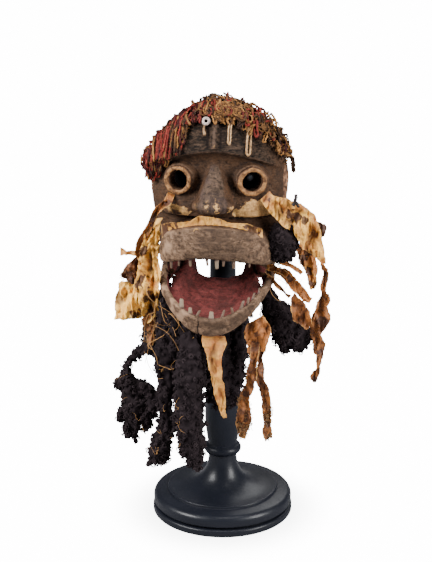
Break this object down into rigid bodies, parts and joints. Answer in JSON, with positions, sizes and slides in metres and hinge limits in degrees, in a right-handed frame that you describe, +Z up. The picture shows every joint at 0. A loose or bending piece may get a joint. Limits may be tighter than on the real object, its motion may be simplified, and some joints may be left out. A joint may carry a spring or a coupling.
{
  "type": "dance mask on a display stand",
  "caption": "Carved wooden dance mask with ringed eyes, gaping jaw, fibre crown, rawhide strips and wool locks, carried on a turned black stand.",
  "frame": {"origin": "centre of the stand's underside", "axes": "+Z up through the stand's post; the mask looks along -Y; +X is to the viewer's right"},
  "size_m": [0.2587, 0.2276, 0.5368],
  "materials": {
    "black_wood": "satin, turned and blackened",
    "mask_wood": "carved, dark patina, worn edges",
    "pale_ring": "worn, matt",
    "tooth": "whittled, stained",
    "dyed_fibre": "knotted, red-brown dye",
    "rawhide": "dried, crumpled",
    "wool": "matted, curly",
    "shell": "worn shell"
  },
  "bodies": {
    "root": {"stand_foot": "black_wood", "stand_post": "black_wood", "mask_face": "mask_wood", "eye_ring_left": "pale_ring", "eye_ring_right": "pale_ring", "fibre_crown": "dyed_fibre", "forehead_bead": "shell", "pendant_loop_left": "rawhide", "pendant_loop_right": "rawhide", "tooth_upper_1": "tooth", "tooth_upper_2": "tooth", "tooth_upper_3": "tooth", "tooth_upper_4": "tooth", "tooth_upper_5": "tooth", "tooth_upper_6": "tooth", "tooth_upper_7": "tooth", "tooth_upper_8": "tooth", "tooth_lower_1": "tooth", "tooth_lower_2": "tooth", "tooth_lower_3": "tooth", "tooth_lower_4": "tooth", "tooth_lower_5": "tooth", "tooth_lower_6": "tooth", "tooth_lower_7": "tooth", "tooth_lower_8": "tooth", "tooth_lower_9": "tooth", "tooth_lower_10": "tooth", "moustache_hide": "rawhide", "hide_left": "rawhide", "hide_left_flap": "rawhide", "hide_right": "rawhide", "hide_right_brown": "rawhide", "hide_right_loop": "rawhide", "hide_chin_pale": "rawhide", "hide_chin_fork_left": "rawhide", "hide_chin_fork_right": "rawhide", "wool_long": "wool", "wool_middle": "wool", "wool_middle_right": "wool", "wool_left_middle": "wool", "wool_left": "wool", "wool_right": "wool", "wool_tuft": "wool"}
  },
  "joints": []
}
